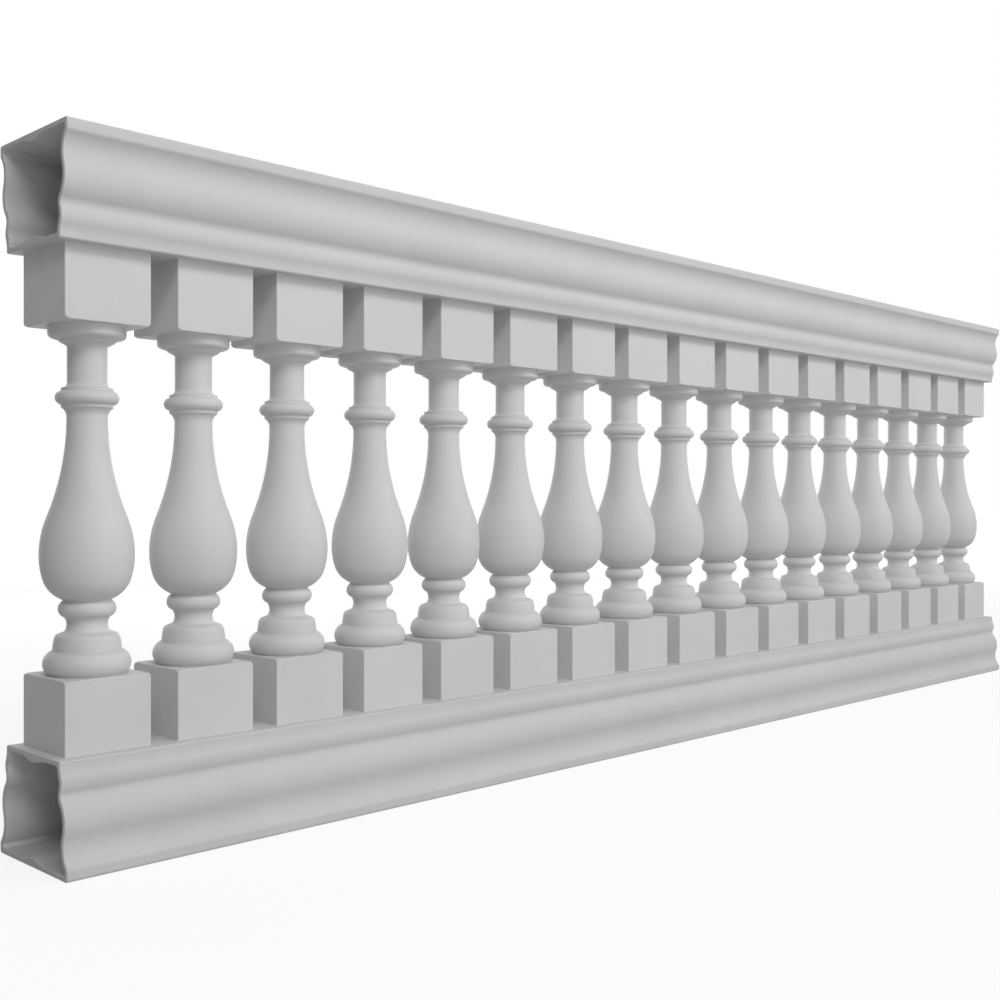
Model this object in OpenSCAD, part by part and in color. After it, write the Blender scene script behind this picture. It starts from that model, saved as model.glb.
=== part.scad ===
// Moulded fibreglass balustrade: two hollow rails of one moulded section, the lower one
// upside down, and a row of balusters, each a turned vase between two square blocks.
// X runs along the rails, Z is up, and the origin is on the floor under the middle.

/* [Overall] */
// Height from the floor to the top of the handrail
overall_h = 900; // [860:1:1100]
// Number of balusters
baluster_count = 17; // [3:1:24]
// Spacing of the balusters, centre to centre
pitch = 152.4; // [130:0.1:200]
// Length of rail that runs past the last block at each end
rail_overhang = 14.4; // [0:0.1:60]

/* [Rail] */
// Height of the rail's section
rail_h = 139.7; // [138:0.1:170]
// Thickness of the moulded wall
rail_wall = 6.35; // [4:0.05:9]
// Radius inside the corners of the hollow
rail_inner_corner = 5.6; // [3:0.1:14]
// Radius of the edges of the wide face
wide_edge = 4; // [0.5:0.5:5]
// Radius of the edges of the narrow face
narrow_edge = 2.5; // [0.5:0.5:5]
// Width of the stiffening rib along the middle of the wide wall
wide_rib_w = 58; // [30:1:80]
// Height of that rib above the wide wall
wide_rib_h = 5.8; // [2:0.1:10]
// Width of the stiffening rib along the middle of the narrow wall
narrow_rib_w = 70; // [30:1:80]
// Height of that rib above the narrow wall
narrow_rib_h = 5; // [2:0.1:10]

/* [Rail mouldings, from the wide face to the narrow one] */
// Width across the fascia
fascia_w = 184.15; // [175:0.05:220]
// Height of the fascia
fascia_h = 12; // [6:0.5:20]
// Share of the cove's S-curve that hollows out under the fascia
cove_share = 0.17; // [0.1:0.01:0.5]
// Width across the bottom of the cove
cove_w = 163.6; // [150:0.1:172]
// Height from the fascia to the bottom of the cove
cove_h = 26; // [20:0.5:30]
// Share of the S-curve from the cove to the swell that is hollow
swell_share = 0.5; // [0.3:0.01:0.7]
// Width across the swell
swell_w = 172.8; // [166:0.1:184]
// Height from the cove to the crest of the swell
swell_h = 28; // [20:0.5:30]
// Share of the S-curve from the swell to the quirk that is full
quirk_share = 0.745; // [0.5:0.005:0.85]
// Width across the quirk, the groove under the swell
quirk_w = 148.6; // [140:0.1:153]
// Height from the swell to the quirk
quirk_h = 33.3; // [26:0.1:34]
// Share of the S-curve from the quirk to the bead that is hollow
bead_share = 0.27; // [0.15:0.01:0.6]
// Width across the bead
bead_w = 155; // [148.8:0.1:162]
// Height from the quirk to the crest of the bead
bead_h = 14.7; // [9:0.1:16]
// Share of the S-curve from the bead to the narrow face that is full
narrow_share = 0.38; // [0.2:0.01:0.6]
// Width across the narrow face
narrow_w = 146; // [120:0.1:153]
// Height from the bead to where the narrow face's sides run straight
narrow_h = 21; // [12:0.5:22]

/* [Block] */
// Side of the square block
block_w = 114.3; // [90:0.1:125]
// Height of the block
block_h = 91.3; // [70:0.1:110]
// Radius of the block's edges
block_edge = 2; // [0.5:0.5:6]

/* [Baluster base] */
// Radius of the foot ring at its crest
foot_r = 53.7; // [50:0.1:56]
// Radius of the foot ring where it meets the block
foot_seat_r = 47.4; // [44:0.1:49]
// Bend radius of the foot ring's section
foot_bend = 17.5; // [14:0.5:22]
// Radius of the foot ring where it meets the drum
foot_top_r = 42.8; // [42:0.1:44]
// Radius of the drum at its bottom
drum_r = 41.8; // [40:0.1:42]
// Height of the drum
drum_h = 19.3; // [14:0.1:26]
// Radius that the drum loses towards its top
drum_taper = 2.7; // [0:0.1:5]
// Radius of the drum's top edge
drum_edge = 6; // [2:0.5:9]
// Rise from the drum's edge to the lip of the scotia
lip_h = 4.2; // [2:0.1:7]
// Radius of the lip at each side of the scotia
lip_r = 28; // [26:0.1:30]
// Radius of the scotia at its narrowest
scotia_r = 25; // [21:0.1:25.8]
// Bend radius of the scotia's section
scotia_bend = 15; // [10:0.5:20]
// Radius of the upper ring at its crest
ring_r = 35.5; // [33:0.1:38]
// Bend radius of the upper ring's section
ring_bend = 11.5; // [9:0.5:15]
// Radius of the crease under the belly
crease_r = 29.7; // [28:0.1:32]
// Height of the groove in that crease
crease_h = 1; // [0.5:0.1:2]

/* [Baluster vase] */
// Radius of the belly
belly_r = 58; // [50:0.1:60]
// Bend radius of the belly just under its widest part
belly_bend = 104; // [80:1:130]
// Angle through which that bend runs
belly_turn = 17; // [10:1:25]
// Bend radius where the belly tucks in above the crease
belly_tuck = 40; // [34:1:44]
// Radius of the vase's neck
neck_r = 25; // [20:0.1:28]
// Share of the vase's S-curve that swells out
belly_share = 0.28; // [0.15:0.01:0.5]

/* [Baluster collar] */
// Radius of the collar at its crest
collar_r = 39; // [36:0.1:44]
// Bend radius of the collar's section
collar_bend = 8.5; // [7.5:0.5:12]
// Radius of the fillets above and below the collar
fillet_r = 31.8; // [30:0.1:34]
// Height of each fillet
fillet_h = 3.7; // [2:0.1:6]
// Bend radius of the cove under the collar
low_cove_bend = 14; // [12:0.5:20]
// Bend radius of the cove over the collar
high_cove_bend = 7.3; // [7.3:0.1:12]

/* [Baluster capital] */
// Radius of the straight shaft under the capital
shaft_r = 24.5; // [20:0.1:26]
// Height of the straight shaft
shaft_h = 45.9; // [30:0.1:70]
// Rise of the capital's lower step
echinus_h = 5.1; // [3:0.1:9]
// Radius of the lower step
echinus_r = 34.3; // [30:0.1:38]
// Height of the small square edge between the steps
quirk_edge_h = 1.6; // [1:0.1:4]
// Bend radius where the shaft runs into the lower step
throat_bend = 4; // [2:0.5:7]
// Rise of the capital's upper step
ovolo_h = 4.2; // [3:0.1:8]
// Radius of the disc under the block
disc_r = 47.7; // [44:0.1:52]
// Height of the side of the disc
disc_h = 14.9; // [8:0.1:20]
// Bend radius of the disc's lower edge
disc_edge = 5.5; // [2:0.5:7]

/* [Hidden] */
finish_colour = [0.82, 0.82, 0.81];
// Longest chord and widest angle of one step along a curve
chord = 7;
chord_angle = 8;
// How far the turned part runs into each block, so that the baluster is one moulding
tenon = 4;

// Heights of the rail's mouldings above its wide face
cove_y = fascia_h + cove_h;
swell_y = cove_y + swell_h;
quirk_y = swell_y + quirk_h;
bead_y = quirk_y + bead_h;
narrow_y = bead_y + narrow_h;

rail_length = (baluster_count - 1) * pitch + block_w + 2 * rail_overhang;
turned_h = overall_h - 2 * (rail_h + block_h);

// Heights of the baluster's mouldings above the lower block
foot_z = rise(foot_bend, foot_r - foot_seat_r);
drum_z = foot_z + rise(foot_bend, foot_r - foot_top_r);
lip_z = drum_z + drum_h + lip_h;
scotia_z = lip_z + rise(scotia_bend, lip_r - scotia_r);
ring_z = scotia_z + rise(scotia_bend, lip_r - scotia_r) + rise(ring_bend, ring_r - lip_r);
crease_z = ring_z + rise(ring_bend, ring_r - crease_r) + crease_h;
tuck_centre_r = belly_r - belly_bend + (belly_bend - belly_tuck) * cos(belly_turn);
tuck_end = swing(belly_tuck, tuck_centre_r + belly_tuck - crease_r);
belly_z = crease_z + belly_bend * sin(belly_turn) + belly_tuck * (sin(tuck_end) - sin(belly_turn));

// and below the upper block, worked out from the top down
ovolo_z = turned_h - disc_h;
echinus_z = ovolo_z - ovolo_h - quirk_edge_h;
shaft_top_z = echinus_z - echinus_h;
shaft_z = shaft_top_z - shaft_h;
high_fillet_z = shaft_z - rise(high_cove_bend, fillet_r - shaft_r);
collar_rise = rise(collar_bend, collar_r - fillet_r);
collar_z = high_fillet_z - fillet_h - collar_rise;
low_fillet_z = collar_z - collar_rise - fillet_h;
neck_z = low_fillet_z - rise(low_cove_bend, fillet_r - neck_r);

function baluster_name(i) = str("baluster_", i < 10 ? "0" : "", i);

// Points along an arc about centre c, from angle a to angle b
function arc(c, r, a, b) =
    let (steps = max(2, ceil(abs(b - a) / chord_angle), ceil(r * abs(b - a) * PI / 180 / chord)))
    [for (i = [0:steps]) let (t = a + (b - a) * i / steps) c + r * [cos(t), sin(t)]];

// Angle through which an arc that starts along the axis turns while it moves sideways by a step
function swing(bend, step) = acos(max(-1, min(1, 1 - step / bend)));

// Height that it rises meanwhile
function rise(bend, step) = bend * sin(swing(bend, step));

// A moulding that swells to radius r at height z, from r_low below it to r_high above it
function swelling(r, z, bend, r_low, r_high) =
    arc([r - bend, z], bend, -swing(bend, r - r_low), swing(bend, r - r_high));

// A moulding that hollows to radius r at height z, from r_low below it to r_high above it
function hollowing(r, z, bend, r_low, r_high) =
    arc([r + bend, z], bend, 180 + swing(bend, r_low - r), 180 - swing(bend, r_high - r));

// Corner q of the path p, q, s, rounded to a bend radius
function rounded(p, q, s, bend) =
    let (
        u = (p - q) / norm(p - q),
        v = (s - q) / norm(s - q),
        half = acos(u * v) / 2,
        c = q + (u + v) / norm(u + v) * bend / sin(half),
        from = q + u * bend / tan(half) - c,
        to = q + v * bend / tan(half) - c,
        a = atan2(from[1], from[0]),
        gap = atan2(to[1], to[0]) - a,
        turn = gap > 180 ? gap - 360 : gap < -180 ? gap + 360 : gap
    )
    arc(c, bend, a, a + turn);

// S-curve of two arcs that leaves p and reaches q along the axis; share is the first arc's part
function ogee(p, q, share) =
    let (
        side = q[0] - p[0],
        along = q[1] - p[1],
        bends = (pow(along, 2) + pow(side, 2)) / (2 * abs(side)),
        turn = asin(abs(along) / bends),
        s = sign(side),
        g = sign(along),
        first = arc([0, 0], share * bends, 0, turn),
        last = arc([0, 0], (1 - share) * bends, turn, 0)
    )
    concat(
        [for (e = first) [p[0] + s * (share * bends - e[0]), p[1] + g * e[1]]],
        [for (i = [1:len(last) - 1]) let (e = last[i])
            [q[0] - s * ((1 - share) * bends - e[0]), q[1] - g * e[1]]]
    );

// One side of the rail's section: x is half the width, y the height above the wide face
function rail_side() = concat(
    rounded([0, 0], [fascia_w / 2, 0], [fascia_w / 2, fascia_h], wide_edge),
    ogee([fascia_w / 2, fascia_h], [cove_w / 2, cove_y], cove_share),
    ogee([cove_w / 2, cove_y], [swell_w / 2, swell_y], swell_share),
    ogee([swell_w / 2, swell_y], [quirk_w / 2, quirk_y], quirk_share),
    ogee([quirk_w / 2, quirk_y], [bead_w / 2, bead_y], bead_share),
    ogee([bead_w / 2, bead_y], [narrow_w / 2, narrow_y], narrow_share),
    rounded([narrow_w / 2, narrow_y], [narrow_w / 2, rail_h], [0, rail_h], narrow_edge)
);

module both_sides(side) {
    polygon(concat(side, [for (i = [len(side) - 1:-1:0]) [-side[i][0], side[i][1]]]));
}

// The rib along a broad wall, a low S-sided wave that stands on y = 0
module rib(w, h) {
    flank = ogee([0, w / 2], [h, 0], 0.5);
    root = -rail_wall / 2;
    both_sides(concat([[w / 2, root]], [for (e = flank) [e[1], e[0]]]));
}

// The hollow runs parallel to the outside, with soft corners, and a rib on each broad wall
module rail_hollow() {
    difference() {
        offset(r = rail_inner_corner, $fn = 48)
            offset(delta = -rail_wall - rail_inner_corner) both_sides(rail_side());
        translate([0, rail_wall]) rib(wide_rib_w, wide_rib_h);
        translate([0, rail_h - rail_wall]) mirror([0, 1]) rib(narrow_rib_w, narrow_rib_h);
    }
}

// A rail that lies on its wide face along X
module rail() {
    color(finish_colour)
        translate([-rail_length / 2, 0, 0]) rotate([90, 0, 90])
            linear_extrude(rail_length) difference() {
                both_sides(rail_side());
                rail_hollow();
            }
}

module bottom_rail() {
    rail();
}

module top_rail() {
    translate([0, 0, overall_h]) mirror([0, 0, 1]) rail();
}

// A square with its four corners rounded
module rounded_square(w, edge) {
    square([w, w - 2 * edge], center = true);
    square([w - 2 * edge, w], center = true);
    for (x = [-1, 1], y = [-1, 1]) translate([x, y] * (w / 2 - edge)) circle(edge, $fn = 48);
}

// The block's side view: it stands on y = 0, with its upper corners rounded
module block_side() {
    translate([-block_w / 2, 0]) square([block_w, block_h - block_edge]);
    translate([-block_w / 2 + block_edge, 0]) square([block_w - 2 * block_edge, block_h]);
    for (x = [-1, 1])
        translate([x * (block_w / 2 - block_edge), block_h - block_edge]) circle(block_edge, $fn = 48);
}

// A block that stands on its seat, rounded along its upright and its turned-side edges
module block() {
    intersection() {
        linear_extrude(block_h) rounded_square(block_w, block_edge);
        rotate([90, 0, 0]) linear_extrude(block_w, center = true) block_side();
        rotate([90, 0, 90]) linear_extrude(block_w, center = true) block_side();
    }
}

// Outline of the turned part, from the lower block to the upper one
function turned_side() = concat(
    [[foot_seat_r, -tenon]],
    swelling(foot_r, foot_z, foot_bend, foot_seat_r, foot_top_r),
    [[drum_r, drum_z]],
    rounded([drum_r, drum_z], [drum_r - drum_taper, drum_z + drum_h], [lip_r, lip_z], drum_edge),
    hollowing(scotia_r, scotia_z, scotia_bend, lip_r, lip_r),
    swelling(ring_r, ring_z, ring_bend, lip_r, crease_r),
    arc([tuck_centre_r, crease_z + belly_tuck * sin(tuck_end)], belly_tuck, -tuck_end, -belly_turn),
    arc([belly_r - belly_bend, belly_z], belly_bend, -belly_turn, 0),
    ogee([belly_r, belly_z], [neck_r, neck_z], belly_share),
    hollowing(neck_r, neck_z, low_cove_bend, neck_r, fillet_r),
    swelling(collar_r, collar_z, collar_bend, fillet_r, fillet_r),
    hollowing(shaft_r, shaft_z, high_cove_bend, fillet_r, shaft_r),
    rounded([shaft_r, shaft_z], [shaft_r, shaft_top_z], [echinus_r, echinus_z], throat_bend),
    [[echinus_r, echinus_z], [echinus_r, echinus_z + quirk_edge_h]],
    rounded([echinus_r, ovolo_z - ovolo_h], [disc_r, ovolo_z], [disc_r, turned_h], disc_edge),
    [[disc_r, turned_h + tenon]]
);

module baluster() {
    color(finish_colour) {
        block();
        translate([0, 0, block_h]) rotate_extrude($fn = 96)
            polygon(concat([[0, -tenon]], turned_side(), [[0, turned_h + tenon]]));
        translate([0, 0, 2 * block_h + turned_h]) mirror([0, 0, 1]) block();
    }
}

module placed_baluster(i) {
    translate([(i - (baluster_count + 1) / 2) * pitch, 0, rail_h]) baluster();
}

bottom_rail();
top_rail();
for (i = [1:baluster_count])
    placed_baluster(i);
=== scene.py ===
# %% [markdown]
# # A moulded fibreglass balustrade
#
# The real object is three kinds of moulding and nothing else: a hollow rail along the top, the
# same rail turned over along the bottom, and a row of balusters, each one piece with a square
# block at both ends. It is laid up in moulds from glass fibre and resin, with a matt gelcoat
# that was against the mould on the outside, and the bare laminate on the inside.
#
# The CAD model gives the places and the sizes. Here each moulding is drawn again as a smooth
# mesh, because fine turned and run mouldings live by their shading, and each gets its finish.

import math

import bmesh
import bpy
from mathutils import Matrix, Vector


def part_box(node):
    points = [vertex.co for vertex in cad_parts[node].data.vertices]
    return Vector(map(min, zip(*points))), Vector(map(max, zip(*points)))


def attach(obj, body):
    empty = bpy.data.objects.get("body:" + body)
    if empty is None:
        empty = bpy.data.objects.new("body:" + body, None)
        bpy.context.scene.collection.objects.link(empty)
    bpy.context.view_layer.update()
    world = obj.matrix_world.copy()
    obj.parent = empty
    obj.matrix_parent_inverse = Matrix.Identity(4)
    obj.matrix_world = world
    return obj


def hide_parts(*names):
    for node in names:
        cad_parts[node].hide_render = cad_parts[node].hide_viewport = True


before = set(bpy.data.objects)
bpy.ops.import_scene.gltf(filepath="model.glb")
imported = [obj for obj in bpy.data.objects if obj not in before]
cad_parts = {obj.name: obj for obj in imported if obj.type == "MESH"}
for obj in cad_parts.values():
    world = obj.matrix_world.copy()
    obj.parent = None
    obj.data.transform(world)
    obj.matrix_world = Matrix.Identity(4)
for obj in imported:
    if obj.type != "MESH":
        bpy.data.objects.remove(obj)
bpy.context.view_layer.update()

# %% [markdown]
# ## Sizes
#
# Everything here is in metres, so the mouldings' sizes are given in millimetres and multiplied
# by one small number. What the frame already knows, such as the length of a rail or the place of
# a baluster, is read from it and not typed again.

# %% Sizes from the frame
MM = 0.001
rail_low, rail_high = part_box("bottom_rail")
rail_length = rail_high.x - rail_low.x
rail_h = rail_high.z - rail_low.z

baluster_names = sorted(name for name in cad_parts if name.startswith("baluster_"))
first_low, first_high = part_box(baluster_names[0])
baluster_h = first_high.z - first_low.z
lower_block_h, upper_block_h = 91.3 * MM, 92.5 * MM
turned_h = baluster_h - lower_block_h - upper_block_h
print(len(baluster_names), "balusters,", round(turned_h / MM, 1), "mm turned between blocks")

# %% [markdown]
# ## A pen for outlines
#
# Both kinds of moulding begin as an outline. It could be a curve object with handles, but a
# moulding's section is really made of straight lines and parts of circles that meet without a
# corner, just as a pattern maker draws it with a rule and a compass. Blender has both as mesh
# operators: extruding one vertex pulls a straight line, and *Spin* swings it about a centre. So a
# pen is one vertex that is pulled and spun, and what it leaves behind is the outline.
#
# Spin turns against the sense that its axis would suggest, so the axis below points the other way.

# %% The pen
ARC_STEP = math.radians(5)
CHORD = 4 * MM


class Pen:
    """One vertex that draws an upright outline. A point is (distance on a level axis, height)."""

    def __init__(self, name, level_axis, start):
        self.level = Vector(level_axis)
        self.axis = Vector((0, 0, 1)).cross(self.level)
        bpy.ops.object.select_all(action="DESELECT")
        bpy.ops.mesh.primitive_plane_add(size=MM)
        self.piece = bpy.context.object
        self.piece.name = name
        bpy.ops.object.mode_set(mode="EDIT")
        bpy.ops.mesh.select_mode(type="VERT")
        bpy.ops.mesh.merge(type="CENTER")
        self.at = Vector(start)
        bpy.ops.transform.translate(value=self.place(self.at))

    def place(self, point):
        return self.level * point[0] + Vector((0, 0, point[1]))

    def line(self, to):
        """Pulls a straight line to a point."""
        step = Vector(to) - self.at
        if step.length > 0.01 * MM:
            bpy.ops.mesh.extrude_region_move(TRANSFORM_OT_translate={"value": self.place(step)})
            self.at = Vector(to)

    def turn(self, centre, angle):
        """Swings through an arc about a centre, leftwards where the angle is positive."""
        arm = self.at - Vector(centre)
        steps = max(2, math.ceil(abs(angle) / ARC_STEP), math.ceil(arm.length * abs(angle) / CHORD))
        bpy.ops.mesh.spin(steps=steps, angle=angle, center=self.place(centre), axis=self.axis)
        c, s = math.cos(angle), math.sin(angle)
        self.at = Vector(centre) + Vector((c * arm.x - s * arm.y, s * arm.x + c * arm.y))

    def done(self):
        bpy.ops.object.mode_set(mode="OBJECT")
        return self.piece


print("arcs go in steps of", round(math.degrees(ARC_STEP)), "degrees, or", CHORD / MM, "mm if less")

# %% [markdown]
# Lines and arcs are joined in three ways. A corner could be drawn sharp and bevelled later, but the
# radius that a bevel gives depends on the corner's angle, and an arc is drawn with its radius. An
# S-curve is two arcs that meet where they lean the most. It stands upright at both ends where a
# moulding runs from one width to the next, and it lies level at both ends where a flat wall swells
# into a rib.

# %% Corners and S-curves
def corner(pen, tip, beyond, bend):
    """Runs towards a corner's tip and rounds it, ready to go on towards the point beyond."""
    back, on = (pen.at - Vector(tip)).normalized(), (Vector(beyond) - Vector(tip)).normalized()
    half = back.angle(on) / 2
    pen.line(Vector(tip) + back * (bend / math.tan(half)))
    left = back.y * on.x - back.x * on.y > 0
    centre = Vector(tip) + (back + on).normalized() * (bend / math.sin(half))
    pen.turn(centre, (math.pi - 2 * half) * (1 if left else -1))


def s_curve(pen, to, share, wall=0):
    """Two arcs that leave and arrive upright. The first has its share of the bend.
    With a wall, the curve runs that far inside the one that the outer face follows."""
    side, up = to[0] - pen.at.x, to[1] - pen.at.y
    bends = (up**2 + side**2) / (2 * abs(side))
    way = math.copysign(1, side)
    angle = math.asin(abs(up) / bends) * -way * math.copysign(1, up)
    last = (to[0] + wall - way * (1 - share) * bends, to[1])
    pen.turn((pen.at.x + wall + way * share * bends, pen.at.y), angle)
    pen.turn(last, -angle)


def wave(pen, to):
    """Two equal arcs that leave and arrive level."""
    side, up = to[0] - pen.at.x, to[1] - pen.at.y
    bend = (up**2 + side**2) / (4 * up)
    angle = math.copysign(math.asin(abs(side) / (2 * abs(bend))), side * up)
    pen.turn((pen.at.x, pen.at.y + bend), angle)
    pen.turn((to[0], to[1] - bend), -angle)


# %% [markdown]
# ## The rail
#
# A rail is a run moulding: its section never changes from end to end. From the broad face it has a
# fascia, a cove, a swell, a quirk (a narrow groove), a bead and a narrow face. Each step between
# them is an S of two arcs. They could be drawn one by one, but as they differ only in their
# numbers, a list holds those and one loop draws them all.

# %% The rail's mouldings
fascia_w = rail_high.y - rail_low.y
fascia_h = 12 * MM
narrow_w = 146 * MM

# Width, height of the step up to it, and the share of the S that belongs to its first arc
run_mouldings = [
    (163.6 * MM, 26 * MM, 0.17),
    (172.8 * MM, 28 * MM, 0.5),
    (148.6 * MM, 33.3 * MM, 0.745),
    (155 * MM, 14.7 * MM, 0.27),
    (narrow_w, 21 * MM, 0.38),
]
moulded_h = fascia_h + sum(step for _, step, _ in run_mouldings)
print("moulded", round(moulded_h / MM, 1), "of", round(rail_h / MM, 1), "mm")

# %% [markdown]
# The section could be swept along a curve. Here it will be filled and extruded, which leaves clean
# flat ends, and only half of it is drawn, from the middle of the broad face around the side to the
# middle of the narrow face: a Mirror modifier gives the other half. One helper draws the side, for
# the outside now and for the hollow next.

# %% The rail's outside
broad_edge, narrow_edge = 4 * MM, 2.5 * MM


def draw_rail_side(pen, wall, first_bend, last_bend):
    """Half of the rail's outline, broad face first, or with a wall half of its hollow's."""
    side = fascia_w / 2 - wall
    top = rail_h - wall
    corner(pen, (side, wall), (side, fascia_h), first_bend)
    pen.line((side, fascia_h))
    height = fascia_h
    for width, step, share in run_mouldings:
        height = min(height + step, top - last_bend)
        s_curve(pen, (width / 2 - wall, height), share, wall)
    corner(pen, (narrow_w / 2 - wall, top), (0, top), last_bend)


outside = Pen("bottom_rail_moulding", (0, 1, 0), (0, 0))
draw_rail_side(outside, 0, broad_edge, narrow_edge)
outside.line((0, rail_h))
bottom_rail = outside.done()
print("outside:", len(bottom_rail.data.vertices), "points")

# %% [markdown]
# The moulding is a shell of even thickness, because glass fibre is laid on the mould layer by
# layer. So the hollow's outline turns about the same centres as the outside, one wall further in. A
# Solidify modifier could give the wall, but not the soft inner corners, nor the low rib that
# stiffens each broad wall, which is a *wave* down to the wall.

# %% The rail's hollow
rail_wall, hollow_corner = 6.35 * MM, 5.6 * MM
broad_rib_w, broad_rib_h = 58 * MM, 5.8 * MM
narrow_rib_w, narrow_rib_h = 70 * MM, 5 * MM

hollow = Pen("hollow", (0, 1, 0), (0, rail_wall + broad_rib_h))
wave(hollow, (broad_rib_w / 2, rail_wall))
draw_rail_side(hollow, rail_wall, hollow_corner, hollow_corner)
hollow.line((narrow_rib_w / 2, rail_h - rail_wall))
wave(hollow, (0, rail_h - rail_wall - narrow_rib_h))

bottom_rail.select_set(True)
hollow.done().select_set(True)
bpy.context.view_layer.objects.active = bottom_rail
bpy.ops.object.join()
print("half section:", len(bottom_rail.data.vertices), "points")

# %% [markdown]
# The half becomes a whole with a Mirror modifier, the space between the two outlines is filled, and
# the filled end is extruded to the rail's length. The ends of the real rail are sawn and the
# sharp arris is sanded off, so the extrusion stops short of each end by that much.

# %% The rail's length
ARRIS = 0.8 * MM


def only(piece):
    """Leaves one object selected and active."""
    bpy.ops.object.select_all(action="DESELECT")
    piece.select_set(True)
    bpy.context.view_layer.objects.active = piece


def push(x):
    """Moves what is selected along the rail."""
    bpy.ops.transform.translate(value=(x, 0, 0))


only(bottom_rail)
mirror = bottom_rail.modifiers.new("other half", "MIRROR")
mirror.use_axis = (False, True, False)
mirror.merge_threshold = 0.1 * MM
bpy.ops.object.modifier_apply(modifier=mirror.name)

bpy.ops.object.mode_set(mode="EDIT")
bpy.ops.mesh.select_all(action="SELECT")
push(rail_low.x + ARRIS)
bpy.ops.mesh.fill()
bpy.ops.mesh.extrude_region_move(
    TRANSFORM_OT_translate={"value": (rail_length - 2 * ARRIS, 0, 0)}
)
bpy.ops.mesh.select_all(action="SELECT")
bpy.ops.mesh.normals_make_consistent(inside=False)
bpy.ops.object.mode_set(mode="OBJECT")
print("extruded rail:", len(bottom_rail.data.polygons), "faces")

# %% [markdown]
# *Inset* draws an end face once more inside itself, and the inner face is pushed out to its place,
# which leaves a narrow chamfer around it and around the hollow. A bevel could do the same, but it
# has to be told which edges to take, and an end face is easier to find: it looks along the rail.

# %% The sawn ends' arris
def faces_where(piece, wanted):
    """In edit mode, selects only the faces for which wanted(centre, normal) is true, and counts
    them."""
    bpy.ops.mesh.select_mode(type="FACE")
    bpy.ops.mesh.select_all(action="DESELECT")
    mesh = bmesh.from_edit_mesh(piece.data)
    for face in mesh.faces:
        face.select_set(wanted(face.calc_center_median(), face.normal))
    bmesh.update_edit_mesh(piece.data)
    return sum(face.select for face in mesh.faces)


bpy.ops.object.mode_set(mode="EDIT")
for way in (-1, 1):
    faces_where(bottom_rail, lambda centre, normal: normal.x * way > 0.9)
    bpy.ops.mesh.inset(thickness=ARRIS)
    push(way * ARRIS)
bpy.ops.object.mode_set(mode="OBJECT")
print("rail:", len(bottom_rail.data.polygons), "faces,", bottom_rail.dimensions)

# %% [markdown]
# ## The baluster
#
# The turned part is a lathe shape, so half its outline is drawn beside the axis and spun a full
# turn. Most of its mouldings are part of a circle that stands upright where it is widest or
# narrowest: a swell or a hollow. So it is enough to give the radius there, the bend of the circle,
# and the radius at which the moulding ends. Its height follows from them.

# %% Swells and hollows
def swing(bend, step):
    """Angle through which an arc that starts upright turns while it moves sideways by a step."""
    return math.acos(min(1, 1 - step / bend))


def rise(bend, step):
    """Height that such an arc gains."""
    return bend * math.sin(swing(bend, step))


def bulge(pen, crest_r, bend, to_r):
    """A moulding that swells from where the pen is to its crest, and back to a radius."""
    first = swing(bend, crest_r - pen.at.x)
    centre = (crest_r - bend, pen.at.y + bend * math.sin(first))
    pen.turn(centre, first + swing(bend, crest_r - to_r))


def hollow_out(pen, waist_r, bend, to_r):
    """The same for a moulding that hollows to its waist."""
    first = swing(bend, pen.at.x - waist_r)
    centre = (waist_r + bend, pen.at.y + bend * math.sin(first))
    pen.turn(centre, -first - swing(bend, to_r - waist_r))


print("a bend of 10 mm that moves out by 2 mm rises by", round(rise(10, 2), 1), "mm")

# %% [markdown]
# The base stands on the lower block. It has a foot ring, a drum whose side swells a little, a
# scotia (a deep hollow) and a ring. The outline begins on the axis a little below the top of the
# block, because two shapes join cleanly only where they overlap.

# %% The base
tenon = 4 * MM
seat_r, lip_r, crease_r = 47.4 * MM, 28 * MM, 29.7 * MM
drum_r, drum_top_r, drum_h = 41.8 * MM, 39 * MM, 19.3 * MM
drum_bend, drum_turn = 65 * MM, math.radians(13.7)
lip_h, crease_h = 4.2 * MM, 1 * MM

pen = Pen("baluster_moulding", (1, 0, 0), (0, -tenon))
pen.line((seat_r, -tenon))
pen.line((seat_r, 0))
bulge(pen, crest_r=53.7 * MM, bend=17.5 * MM, to_r=42.8 * MM)
pen.line((drum_r, pen.at.y))
drum_top = pen.at.y + drum_h
pen.turn((drum_r - drum_bend, pen.at.y), drum_turn)
corner(pen, (drum_top_r, drum_top), (lip_r, drum_top + lip_h), bend=6 * MM)
pen.line((lip_r, drum_top + lip_h))
hollow_out(pen, waist_r=25 * MM, bend=15 * MM, to_r=lip_r)
bulge(pen, crest_r=35.5 * MM, bend=11.5 * MM, to_r=crease_r)
pen.line((crease_r, pen.at.y + crease_h))
print("the base is", round(pen.at.y / MM, 1), "mm high")

# %% [markdown]
# At the top, a straight shaft and a capital of two steps hang from the upper block, and below them
# is a collar, a ring between two fillets (narrow flat bands). Their sizes come before the vase's,
# because what they take of the height leaves the place where its neck ends.

# %% Where the neck ends
neck_r, shaft_r, fillet_r, collar_r = 25 * MM, 24.5 * MM, 31.8 * MM, 39 * MM
low_bend, collar_bend, high_bend = 14 * MM, 8.5 * MM, 7.3 * MM
fillet_h, shaft_h = 3.7 * MM, 45.9 * MM
step_r, step_h, edge_h = 34.3 * MM, 5.1 * MM, 1.6 * MM
disc_r, disc_h, ovolo_h = 47.7 * MM, 13.7 * MM, 4.2 * MM

capital_h = shaft_h + step_h + edge_h + ovolo_h + disc_h
collar_h = rise(low_bend, fillet_r - neck_r) + rise(high_bend, fillet_r - shaft_r)
collar_h += 2 * (fillet_h + rise(collar_bend, collar_r - fillet_r))
neck_z = turned_h - capital_h - collar_h
print("the neck ends at", round(neck_z / MM, 1), "mm")

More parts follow.
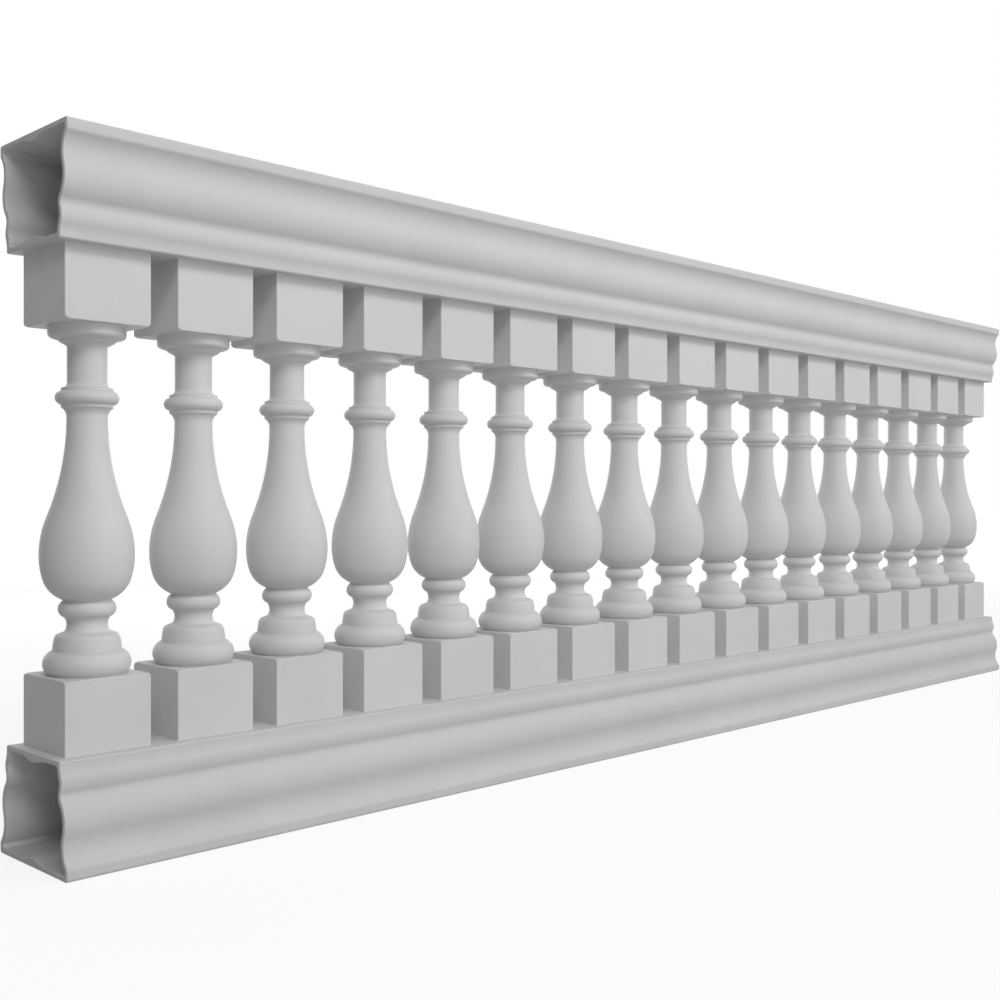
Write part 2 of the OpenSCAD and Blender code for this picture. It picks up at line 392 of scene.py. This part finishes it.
# %% [markdown]
# The vase gives the baluster its look. Its belly is two arcs that meet without a corner: a tighter
# one that tucks it in towards the ring, and a wider one that comes upright where the belly is
# widest. From there one long S-curve draws it in to the neck.

# %% The vase
belly_r, belly_bend, belly_turn, tuck_bend = 58 * MM, 104 * MM, math.radians(17), 40 * MM

tuck_r = belly_r - belly_bend + (belly_bend - tuck_bend) * math.cos(belly_turn)
tuck_turn = math.acos((crease_r - tuck_r) / tuck_bend)
pen.turn((tuck_r, pen.at.y + tuck_bend * math.sin(tuck_turn)), tuck_turn - belly_turn)
pen.turn((belly_r - belly_bend, pen.at.y + belly_bend * math.sin(belly_turn)), belly_turn)
print("the belly is widest at", round(pen.at.y / MM, 1), "mm")
s_curve(pen, (neck_r, neck_z), share=0.28)

# %% [markdown]
# A hollow leads from the neck out to the collar and another one leads back to the shaft. Above the
# shaft the capital flares to a narrow edge, and from there to a disc with a rounded lower rim. The
# outline ends on the axis again, a little inside the upper block.

# %% The collar and the capital
hollow_out(pen, neck_r, low_bend, to_r=fillet_r)
pen.line((fillet_r, pen.at.y + fillet_h))
bulge(pen, collar_r, collar_bend, to_r=fillet_r)
pen.line((fillet_r, pen.at.y + fillet_h))
hollow_out(pen, shaft_r, high_bend, to_r=shaft_r)

shaft_top = pen.at.y + shaft_h
corner(pen, (shaft_r, shaft_top), (step_r, shaft_top + step_h), bend=4 * MM)
pen.line((step_r, shaft_top + step_h))
pen.line((step_r, pen.at.y + edge_h))
corner(pen, (disc_r, pen.at.y + ovolo_h), (disc_r, turned_h), bend=5.5 * MM)
pen.line((disc_r, turned_h + tenon))
pen.line((0, turned_h + tenon))
baluster = pen.done()
print("turned outline:", len(baluster.data.vertices), "points, to", round(pen.at.y / MM, 1), "mm")

# %% [markdown]
# *Spin* again, this time a whole turn about the upright axis, makes the turned part. Its first and
# last points lie on the axis, so each ring of copies there is merged into one point, which closes
# the shape. Spun faces can come out with the inside outermost, so the normals are worked out anew.

# %% Spin the turned part
TURN_STEPS = 96

only(baluster)
bpy.ops.object.mode_set(mode="EDIT")
bpy.ops.mesh.select_all(action="SELECT")
bpy.ops.mesh.spin(steps=TURN_STEPS, angle=math.tau, center=(0, 0, 0), axis=(0, 0, 1))
bpy.ops.mesh.select_all(action="SELECT")
bpy.ops.mesh.remove_doubles(threshold=0.01 * MM)
bpy.ops.mesh.normals_make_consistent(inside=False)
bpy.ops.object.mode_set(mode="OBJECT")
print("turned part:", len(baluster.data.polygons), "faces")

# %% [markdown]
# Each block is a cube at its size and place. It stays square where it sits on the rail, and its
# other edges are rounded a little, so that a mould can let go of it. A Bevel modifier could tell
# them apart by weights that are set on the edges first. *Bevel* in edit mode is plainer: it takes
# the edges that are selected, and the heights of an edge's two ends say whether it is one of them.

# %% The blocks
BLOCK_EDGE = 1.3 * MM
block_w = 114.3 * MM


def round_edges(piece, wanted, radius, segments):
    """Rounds the edges for which wanted, given the heights of both ends, says yes."""
    only(piece)
    bpy.ops.object.transform_apply(location=True, scale=True)
    bpy.ops.object.mode_set(mode="EDIT")
    bpy.ops.mesh.select_mode(type="EDGE")
    bpy.ops.mesh.select_all(action="DESELECT")
    mesh = bmesh.from_edit_mesh(piece.data)
    for edge in mesh.edges:
        edge.select_set(wanted(*[v.co.z for v in edge.verts]))
    bmesh.update_edit_mesh(piece.data)
    bpy.ops.mesh.bevel(offset=radius, segments=segments, affect="EDGES")
    bpy.ops.object.mode_set(mode="OBJECT")


def make_block(seat_z, way, block_h):
    """A block on its seat, that reaches up where way is 1 and down where it is -1."""
    middle = (0, 0, seat_z + way * block_h / 2)
    bpy.ops.object.select_all(action="DESELECT")
    bpy.ops.mesh.primitive_cube_add(size=1, location=middle, scale=(block_w, block_w, block_h))
    block = bpy.context.object
    round_edges(block, lambda *ends: any(abs(z - seat_z) > MM for z in ends), BLOCK_EDGE, 3)
    return block


# Height of the seat on the rail, the way that the block reaches from there, and how far
seats = [(-lower_block_h, 1, lower_block_h), (turned_h + upper_block_h, -1, upper_block_h)]
blocks = [make_block(*seat) for seat in seats]
print("blocks:", [len(block.data.polygons) for block in blocks], "faces")

# %% [markdown]
# The four corners of a block that point to the turned part are rounder than the edges between them,
# as on a square of timber whose shoulder was trimmed on the lathe. A bevel on the corners alone
# would dent the edges. So a cutter is made, a cylinder with a rounded rim, so wide that only those
# corners stand out of it, and a Boolean modifier set to *intersect* keeps what the block shares
# with it.

# %% Rounder corners
CUTTER_RIM, CUTTER_R, CUTTER_SIDES = 6 * MM, 80.5 * MM, 128
SEAT_OVERLAP, HAIR = 10 * MM, 0.02 * MM


def combine(piece, other, operation):
    """Makes two closed shapes one by UNION or INTERSECT, and removes the second."""
    only(piece)
    joint = piece.modifiers.new("join", "BOOLEAN")
    joint.operation = operation
    joint.solver = "EXACT"
    joint.object = other
    bpy.ops.object.modifier_apply(modifier=joint.name)
    only(other)
    bpy.ops.object.delete()


def trim_corners(block, seat_z, way, block_h):
    # The cutter overlaps the block at its seat, and stands out by a hair at the other end
    depth = block_h + SEAT_OVERLAP + HAIR
    middle = (0, 0, seat_z + way * (depth / 2 - SEAT_OVERLAP))
    bpy.ops.mesh.primitive_cylinder_add(
        vertices=CUTTER_SIDES, radius=CUTTER_R, depth=depth, location=middle
    )
    cutter = bpy.context.object
    rim_z = seat_z + way * (block_h + HAIR)
    round_edges(cutter, lambda *ends: all(abs(z - rim_z) < MM for z in ends), CUTTER_RIM, 6)
    combine(block, cutter, "INTERSECT")


for block, seat in zip(blocks, seats):
    trim_corners(block, *seat)
print("trimmed blocks:", [len(block.data.polygons) for block in blocks], "faces")

# %% [markdown]
# The same modifier, set to *union*, then joins the blocks to the turned part, because the real
# baluster is one moulding and no wall of one should be left inside the other.

# %% One moulding
for block in blocks:
    combine(baluster, block, "UNION")
print("baluster:", len(baluster.data.polygons), "faces")

# %% [markdown]
# ## Smooth where it is round, crisp where it is not
#
# Smooth shading blends the light over neighbouring faces. *Shade smooth by angle* keeps an edge
# sharp where two faces meet at more than that angle. A Weighted Normal modifier then lets the large
# flat faces win over the narrow ones on a rounded edge, so that a block's side still looks flat.

# %% Shading
SHARP = math.radians(32)


def shade(piece):
    only(piece)
    bpy.ops.object.shade_smooth_by_angle(angle=SHARP)
    weighted = piece.modifiers.new("flat faces first", "WEIGHTED_NORMAL")
    weighted.keep_sharp = True
    bpy.ops.object.modifier_apply(modifier=weighted.name)
    sharp = sum(edge.use_edge_sharp for edge in piece.data.edges)
    print(piece.name, "has", sharp, "sharp edges")


shade(bottom_rail)
shade(baluster)

# %% [markdown]
# ## One moulding, many copies
#
# The mould is used again for each baluster, so the model is too: the one baluster is copied to each
# place that the frame gives, each copy with a mesh of its own. The copy's place is applied to its
# mesh, because a finished piece has its object at the origin.

# %% The balusters
def copy_of(piece, name):
    only(piece)
    bpy.ops.object.duplicate(linked=False)
    copied = bpy.context.object
    copied.name = name
    return copied


def finish_place(piece):
    only(piece)
    bpy.ops.object.transform_apply(location=True, rotation=True, scale=True)


balusters = {}
for name in baluster_names:
    low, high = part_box(name)
    balusters[name] = copy_of(baluster, name + "_moulding")
    balusters[name].location = ((low.x + high.x) / 2, (low.y + high.y) / 2, low.z + lower_block_h)
    finish_place(balusters[name])
only(baluster)
bpy.ops.object.delete()
print("balusters:", len(balusters))

# %% [markdown]
# The top rail came out of the same mould and was turned over. A copy of the bottom rail could be
# turned about its length; here it is mirrored in height, which gives the same shape, as both sides
# of a rail are alike. Mirroring turns a surface inside out, so its normals are worked out again.

# %% The top rail
top_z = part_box("top_rail")[1].z
top_rail = copy_of(bottom_rail, "top_rail_moulding")
top_rail.scale.z = -1
top_rail.location.z = top_z
finish_place(top_rail)
bpy.ops.object.mode_set(mode="EDIT")
bpy.ops.mesh.select_all(action="SELECT")
bpy.ops.mesh.normals_make_consistent(inside=False)
bpy.ops.object.mode_set(mode="OBJECT")
shade(top_rail)
print("top rail up to", round(top_z / MM, 1), "mm")

# %% [markdown]
# ## The finishes
#
# A material in Blender is a tree of nodes. Its patterns are mostly arithmetic on the outputs of a
# few textures, and arithmetic is easier to read as a sum than as a row of nodes. So `Amount` wraps
# one node's output, and a sum such as `1 - grime * 0.3` adds the Math nodes by itself.

# %% Sums of patterns
class Amount:
    """A node's output. A sum on it adds Math nodes to the same recipe."""

    def __init__(self, recipe, socket):
        self.recipe, self.socket = recipe, socket

    def sum(self, operation, first, second):
        return self.recipe.node("ShaderNodeMath", {"operation": operation}, {0: first, 1: second})

    def __add__(self, other):
        return self.sum("ADD", self, other)

    def __rsub__(self, other):
        return self.sum("SUBTRACT", other, self)

    def __mul__(self, other):
        return self.sum("MULTIPLY", self, other)

    __radd__ = __add__
    __rmul__ = __mul__


# %% [markdown]
# `Recipe` is the tree of one finish. Every node needs the same three steps, which are to add it, to
# choose its settings, and to fill or link its sockets. So one method does them for any node.

# %% Recipes for finishes
class Recipe:
    """The nodes of one finish."""

    def __init__(self, owner):
        owner.use_nodes = True
        self.tree = owner.node_tree
        self.tree.nodes.clear()

    def node(self, kind, settings={}, sockets={}, output=0):
        made = self.tree.nodes.new(kind)
        for name, value in settings.items():
            setattr(made, name, value)
        for name, value in sockets.items():
            if isinstance(value, Amount):
                self.tree.links.new(value.socket, made.inputs[name])
            else:
                made.inputs[name].default_value = value
        return Amount(self, made.outputs[output]) if made.outputs else None


# %% [markdown]
# A few small helpers are shared by all finishes. Every pattern is laid on Object coordinates, which
# are metres here, so the size of a lump is simply a length. A *step* turns any amount into a mask
# that rises softly from 0 to 1, and *dust_and_painted_shade* is such a mask, of the faces that look
# up: partly dust, and partly painted shade that darkens the tops.

# %% Patterns
def lumps(recipe, size, detail=2, place=None):
    """Soft noise from 0 to 1 whose lumps are about one size."""
    place = place or recipe.node("ShaderNodeTexCoord", output="Object")
    sockets = {"Vector": place, "Scale": 1 / size, "Detail": detail}
    return recipe.node("ShaderNodeTexNoise", {}, sockets)


def step(recipe, amount, low, high):
    """A mask that is 0 under the low amount, 1 over the high one, and smooth between."""
    sockets = {"Value": amount, "From Min": low, "From Max": high}
    return recipe.node("ShaderNodeMapRange", {"interpolation_type": "SMOOTHSTEP"}, sockets)


def dust_and_painted_shade(recipe):
    """A patchy mask of the faces that look up: partly dust, partly painted shade that darkens the
    tops.
    """
    facing = recipe.node("ShaderNodeNewGeometry", output="Normal")
    upward = recipe.node("ShaderNodeSeparateXYZ", {}, {"Vector": facing}, output="Z")
    return step(recipe, upward, 0.6, 1) * (0.75 + lumps(recipe, 28 * MM, detail=5) * 0.5)


# %% [markdown]
# A *blend* of two colours needs a Mix node, because a Math node would turn a colour grey. The last
# step of any finish is one surface shader. Its fine relief is a bump, which bends only the light:
# orange peel and strands are far too low to show in an outline, so they need no geometry.

# %% Colours and the surface
def blend(recipe, share, first, second):
    """A colour that runs from the first into the second."""
    sockets = {0: share, 6: first, 7: second}
    return recipe.node("ShaderNodeMix", {"data_type": "RGBA"}, sockets, output=2)


def grey(tone, warmth=0.0):
    """A near-neutral colour."""
    return (tone * (1 + warmth), tone, tone * (1 - warmth), 1)


def finish_with(recipe, colour, roughness, height, gloss):
    """Ends a recipe: one surface shader, whose bump is a height in metres."""
    bump = recipe.node("ShaderNodeBump", {}, {"Strength": 1, "Distance": 1, "Height": height})
    sockets = {"Base Color": colour, "Roughness": roughness, "Normal": bump}
    sockets["Specular IOR Level"] = gloss
    skin = recipe.node("ShaderNodeBsdfPrincipled", {}, sockets)
    recipe.node("ShaderNodeOutputMaterial", {}, {"Surface": skin})


print("a warm grey:", grey(0.5, warmth=0.01))

# %% [markdown]
# ### Gelcoat
#
# The outside of a fibreglass moulding is a coat of coloured resin that was sprayed into the mould
# first. It is matt and almost even: what shows that it is real is a trace of orange peel a few
# millimetres across, a slight waviness where the laminate behind it has shrunk, and a faint
# cloudiness of the pigment. The faces that look up are darkened, partly as a film of dust and
# partly as painted shade. All of it is kept very low, because a new moulding is clean. The
# balusters are a little paler than the rails, and their upward faces are darkened more.

# %% Gelcoat
def gelcoat(name, tone, dust_and_shade_share):
    finish = bpy.data.materials.new(name)
    recipe = Recipe(finish)
    cloud = lumps(recipe, 140 * MM, detail=4)
    speck = step(recipe, lumps(recipe, 2.2 * MM), 0.68, 0.76)
    colour = blend(recipe, step(recipe, cloud, 0.3, 0.7), grey(tone * 0.975), grey(tone * 1.015))
    colour = blend(recipe, speck * 0.05, colour, grey(tone * 0.6))

    # Dust and painted shade: the faces that look up are darkened towards a darker grey.
    dust_and_shade_film = dust_and_painted_shade(recipe)
    colour = blend(recipe, dust_and_shade_film * dust_and_shade_share, colour, grey(tone * 0.74, warmth=0.01))

    peel = lumps(recipe, 3.2 * MM)
    print_through = lumps(recipe, 45 * MM, detail=1)
    height = peel * (0.012 * MM) + print_through * (0.12 * MM)
    roughness = 0.5 + cloud * 0.1 + dust_and_shade_film * 0.2
    finish_with(recipe, colour, roughness, height, gloss=0.2)
    return finish


rail_finish = gelcoat("matt_rail_gelcoat", 0.61, dust_and_shade_share=0.05)
baluster_finish = gelcoat("matt_baluster_gelcoat", 0.66, dust_and_shade_share=0.25)
print("gelcoats:", rail_finish.name, baluster_finish.name)

# %% [markdown]
# ### Bare laminate
#
# Inside the rails there is no gelcoat. The glass is a mat of chopped strands, each a few
# centimetres long and laid every way, that show through the resin as fine ridges. One layer of
# strands is soft noise that is stretched along one direction by a Mapping node. Four layers that
# lie different ways are put together, and where they are high, the resin is thinner and paler.
# Faces that look up, such as the floors of the hollows, are darkened, partly as dust and partly as
# painted shade.

# %% Bare laminate
def strands(recipe, lie):
    """One layer of strands that all lie one way, as a mask."""
    place = recipe.node("ShaderNodeTexCoord", output="Object")
    sockets = {"Vector": place, "Rotation": lie, "Scale": (0.05, 1, 1)}
    stretched = recipe.node("ShaderNodeMapping", {"vector_type": "TEXTURE"}, sockets)
    return step(recipe, lumps(recipe, 1.6 * MM, detail=1, place=stretched), 0.55, 0.7)


laminate = bpy.data.materials.new("bare_laminate")
recipe = Recipe(laminate)
mat = 0.0
for lie in [(0.3, 0.2, 0.4), (0.9, -0.5, 1.7), (-0.6, 0.8, 2.6), (1.4, 0.1, -0.7)]:
    mat = strands(recipe, lie) * 0.3 + mat
resin = lumps(recipe, 60 * MM, detail=3)
# The laminate's tones are paler than the gelcoat's, partly as painted light that brightens the
# inside of the hollow.
colour = blend(recipe, resin, grey(0.75, 0.005), grey(0.83))
colour = blend(recipe, mat, colour, grey(0.88))
# Dust and painted shade: faces that look up, such as a hollow's floor, are darkened.
colour = blend(recipe, dust_and_painted_shade(recipe) * 0.35, colour, grey(0.5, 0.01))
finish_with(recipe, colour, 0.6 + mat * 0.1, mat * (0.25 * MM) + resin * (0.4 * MM), gloss=0.2)
print("laminate:", len(laminate.node_tree.nodes), "nodes")

# %% [markdown]
# ### The sawn ends
#
# A rail is cut to length with a diamond blade, which leaves the edge of the laminate open. It is
# darker than the gelcoat, because cut glass and resin are clear, with fine saw marks that run
# straight up, and pale flecks where strands end.

# %% Sawn edge
sawn_edge = bpy.data.materials.new("sawn_edge")
recipe = Recipe(sawn_edge)
place = recipe.node("ShaderNodeTexCoord", output="Object")
upright = {"Vector": place, "Scale": (1, 1, 0.02)}
along_cut = recipe.node("ShaderNodeMapping", {"vector_type": "POINT"}, upright)
marks = lumps(recipe, 1.1 * MM, detail=3, place=along_cut)
fleck = step(recipe, lumps(recipe, 0.9 * MM, detail=1), 0.58, 0.66)
colour = blend(recipe, marks, grey(0.51, 0.01), grey(0.61, 0.01))
colour = blend(recipe, fleck * 0.5, colour, grey(0.72))
finish_with(recipe, colour, 0.7 + fleck * 0.1, marks * (0.06 * MM), gloss=0.3)
print("sawn edge:", len(sawn_edge.node_tree.nodes), "nodes")

# %% [markdown]
# ## Finishes on their faces
#
# A baluster is gelcoat all over. A rail has three finishes: its ends are sawn, the faces that look
# at its own middle are bare laminate, and all others are gelcoat. In edit mode the faces are
# selected by where they look, and the active material slot is assigned to them.

# %% Finishes on their faces
def give(piece, finish, wanted):
    """Assigns a finish to the faces for which wanted(centre, normal) is true."""
    only(piece)
    piece.data.materials.append(finish)
    piece.active_material_index = len(piece.data.materials) - 1
    bpy.ops.object.mode_set(mode="EDIT")
    count = faces_where(piece, wanted)
    bpy.ops.object.material_slot_assign()
    bpy.ops.object.mode_set(mode="OBJECT")
    print(piece.name, finish.name, count, "faces")


def finish_rail(rail, middle_z):
    def looks_in(centre, normal):
        return normal.y * centre.y + normal.z * (centre.z - middle_z) < 0

    give(rail, rail_finish, lambda centre, normal: True)
    give(rail, laminate, looks_in)
    give(rail, sawn_edge, lambda centre, normal: abs(normal.x) > 0.5)


finish_rail(bottom_rail, rail_h / 2)
finish_rail(top_rail, top_z - rail_h / 2)
for piece in balusters.values():
    piece.data.materials.append(baluster_finish)

# %% [markdown]
# ## What stands for what
#
# Each smooth moulding takes the place of the CAD part at the same spot, which is hidden but kept.
# Nothing moves here, so all of them ride on the one body.

# %% Riding on the frame
for node, piece in {"bottom_rail": bottom_rail, "top_rail": top_rail, **balusters}.items():
    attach(piece, "root")
    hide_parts(node)
print(len(balusters) + 2, "mouldings stand for", len(balusters) + 2, "CAD parts")

# %% [markdown]
# ## The camera
#
# The camera stands near the left end at half the height and looks level at the front, at 45
# degrees to it, so that uprights stay upright. It is close, which is why the far balusters are so
# much smaller. The tiny shift moves the picture by less than a thousandth of its width.

# %% Camera
camera_place = (-1.9622, -1.47925, 0.45)
bpy.ops.object.camera_add(location=camera_place, rotation=(math.pi / 2, 0, -math.pi / 4))
camera = bpy.context.object
camera.data.sensor_width = 36
camera.data.lens = 44.77
camera.data.shift_x, camera.data.shift_y = 0.00075, -0.0005
bpy.context.scene.camera = camera
print("camera at", camera_place)

# %% [markdown]
# ## The light
#
# A matt pale moulding shows its shape only by soft shading, so every lamp is a large panel. Four
# hang high in front, in a row longer than the balustrade: they draw the shadows under the rail and
# under each block. Weaker ones in front, half-way up, low at the left and at the right, soften
# those shadows, and two behind keep the backs of the balusters from going black.

# %% Lamps
AIM = Vector((0, 0, 0.45))


def lamp(name, place, width, height, power):
    """A rectangular panel that looks at the middle of the balustrade."""
    bpy.ops.object.light_add(type="AREA", location=place)
    hung = bpy.context.object
    hung.name = name
    hung.rotation_euler = (AIM - Vector(place)).to_track_quat("-Z", "Y").to_euler()
    hung.data.shape = "RECTANGLE"
    hung.data.size, hung.data.size_y = width, height
    hung.data.energy = power
    print("lamp", name, power, "W")


lamp("high_far_left", (-2.6, -2.4, 3), 1.2, 0.8, 16.8)
lamp("high_left", (-1.3, -2.6, 3), 3, 0.8, 28.8)
lamp("high_right", (1.6, -2.6, 3), 3, 0.8, 22.6)
lamp("high_far_right", (3, -2.6, 3), 1.2, 0.8, 16)
lamp("middle", (0, -3.3, 2.1), 5, 0.8, 17.2)
lamp("low_left", (-1.6, -3.5, 0.5), 2, 0.7, 16.7)
lamp("right", (3.5, -3.5, 1.5), 2.5, 2.5, 27.7)
lamp("back", (0, 4, 1.5), 4, 3, 63)
lamp("back_right", (3, 3, 1.5), 3, 3, 48.7)

# %% [markdown]
# ## The room
#
# The room is white and seamless. A white world bright enough to look white would flood the object
# with light, so the world is white only for what looks straight at it, which *Light Path* tells:
# rays from the camera, and mirror or glass rays. For all other rays it is a dim grey.

# %% The room
DIM_LIGHT = 0.178


def seen_directly(recipe):
    seen = 0.0
    for ray in ("Is Camera Ray", "Is Glossy Ray", "Is Transmission Ray"):
        seen = recipe.node("ShaderNodeLightPath", output=ray) + seen
    return seen


room = bpy.data.worlds.new("white_room")
bpy.context.scene.world = room
recipe = Recipe(room)
dim = recipe.node("ShaderNodeBackground", {}, {"Color": grey(1), "Strength": DIM_LIGHT})
white = recipe.node("ShaderNodeBackground", {}, {"Color": grey(1), "Strength": 1})
sight = recipe.node("ShaderNodeMixShader", {}, {0: seen_directly(recipe), 1: dim, 2: white})
recipe.node("ShaderNodeOutputWorld", {}, {"Surface": sight})
print("room:", len(room.node_tree.nodes), "nodes, dim light", DIM_LIGHT)

# %% [markdown]
# The floor is a sheet of white paper. Seen directly, most of its white is its own, and a share of
# it is lit, so the object still leaves a soft shadow. That share fades out with distance, where the
# paper runs into the white of the room. Towards the object it is plain pale paper.

# %% The floor
FLOOR_W = 60
LIT_SHARE, OWN_LIGHT = 0.22, 1.08
FADE_FROM, FADE_TO = 2.5, 7

bpy.ops.object.select_all(action="DESELECT")
bpy.ops.mesh.primitive_plane_add(size=FLOOR_W)
floor = bpy.context.object
floor.name = "floor"

paper = bpy.data.materials.new("white_paper")
recipe = Recipe(paper)
place = recipe.node("ShaderNodeTexCoord", output="Object")
far = recipe.node("ShaderNodeVectorMath", {"operation": "LENGTH"}, {0: place}, output="Value")
lit_share = LIT_SHARE * (1 - step(recipe, far, FADE_FROM, FADE_TO))
lit = recipe.node("ShaderNodeBsdfDiffuse", {}, {"Color": grey(0.8)})
own = recipe.node("ShaderNodeEmission", {}, {"Color": grey(1), "Strength": OWN_LIGHT})
sight = recipe.node("ShaderNodeMixShader", {}, {0: lit_share, 1: own, 2: lit})
plain = recipe.node("ShaderNodeBsdfDiffuse", {}, {"Color": grey(0.55)})
both = recipe.node("ShaderNodeMixShader", {}, {0: seen_directly(recipe), 1: plain, 2: sight})
recipe.node("ShaderNodeOutputMaterial", {}, {"Surface": both})
floor.data.materials.append(paper)
print("floor:", FLOOR_W, "m wide,", len(paper.node_tree.nodes), "nodes")

# %% [markdown]
# ## The end
#
# The Standard view shows a colour as it is written.

# %% View
bpy.context.scene.view_settings.view_transform = "Standard"
